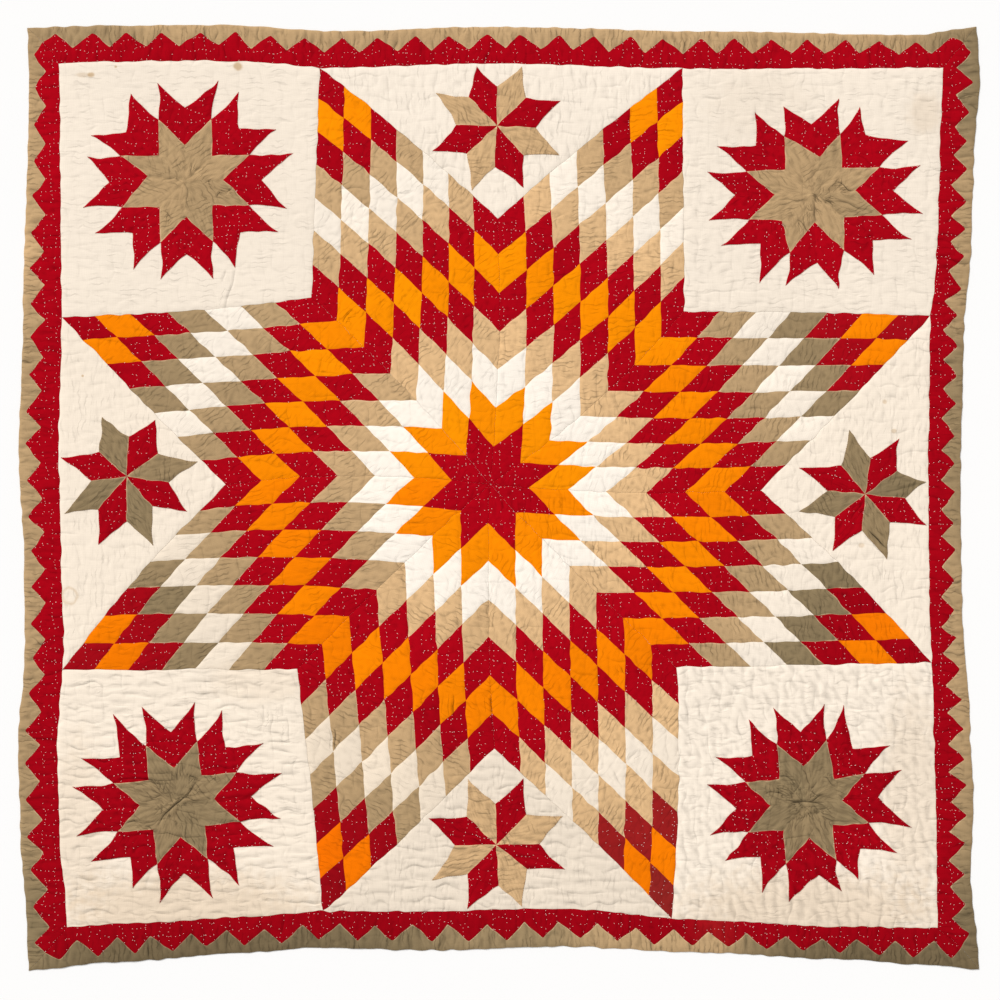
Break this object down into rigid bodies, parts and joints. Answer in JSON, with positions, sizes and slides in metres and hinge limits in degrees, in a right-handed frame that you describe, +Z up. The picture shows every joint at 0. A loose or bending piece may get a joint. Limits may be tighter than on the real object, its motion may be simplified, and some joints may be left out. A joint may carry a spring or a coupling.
{
  "type": "star quilt blanket",
  "caption": "Pieced cotton bed quilt with a large star of small diamonds, small stars in its plain corners and sides, and a toothed border, lying flat.",
  "frame": {"origin": "under the middle of the quilt's box, on the surface it lies on", "axes": "+Z up out of the quilt's face, +Y towards the top edge of the picture, +X towards its right edge"},
  "size_m": [2.0084, 1.9746, 0.0052],
  "materials": {
    "pieced_star_cotton": "matte woven cotton patchwork in red, orange, white and khaki",
    "plain_white_cotton": "matte woven cotton, hand quilted",
    "small_star_cotton": "matte woven cotton, red and khaki diamonds sewn on by hand",
    "red_border_cotton": "matte woven cotton with hand quilting stitches",
    "khaki_border_cotton": "matte woven cotton, faded"
  },
  "bodies": {
    "root": {"star_point_nne": "pieced_star_cotton", "star_point_ene": "pieced_star_cotton", "star_point_ese": "pieced_star_cotton", "star_point_sse": "pieced_star_cotton", "star_point_ssw": "pieced_star_cotton", "star_point_wsw": "pieced_star_cotton", "star_point_wnw": "pieced_star_cotton", "star_point_nnw": "pieced_star_cotton", "corner_square_nw": "plain_white_cotton", "corner_star_nw": "small_star_cotton", "corner_square_ne": "plain_white_cotton", "corner_star_ne": "small_star_cotton", "corner_square_sw": "plain_white_cotton", "corner_star_sw": "small_star_cotton", "corner_square_se": "plain_white_cotton", "corner_star_se": "small_star_cotton", "side_triangle_n": "plain_white_cotton", "side_star_n": "small_star_cotton", "side_triangle_e": "plain_white_cotton", "side_star_e": "small_star_cotton", "side_triangle_s": "plain_white_cotton", "side_star_s": "small_star_cotton", "side_triangle_w": "plain_white_cotton", "side_star_w": "small_star_cotton", "toothed_border_top": "red_border_cotton", "outer_border_top": "khaki_border_cotton", "toothed_border_right": "red_border_cotton", "outer_border_right": "khaki_border_cotton", "toothed_border_bottom": "red_border_cotton", "outer_border_bottom": "khaki_border_cotton", "toothed_border_left": "red_border_cotton", "outer_border_left": "khaki_border_cotton"}
  },
  "joints": []
}
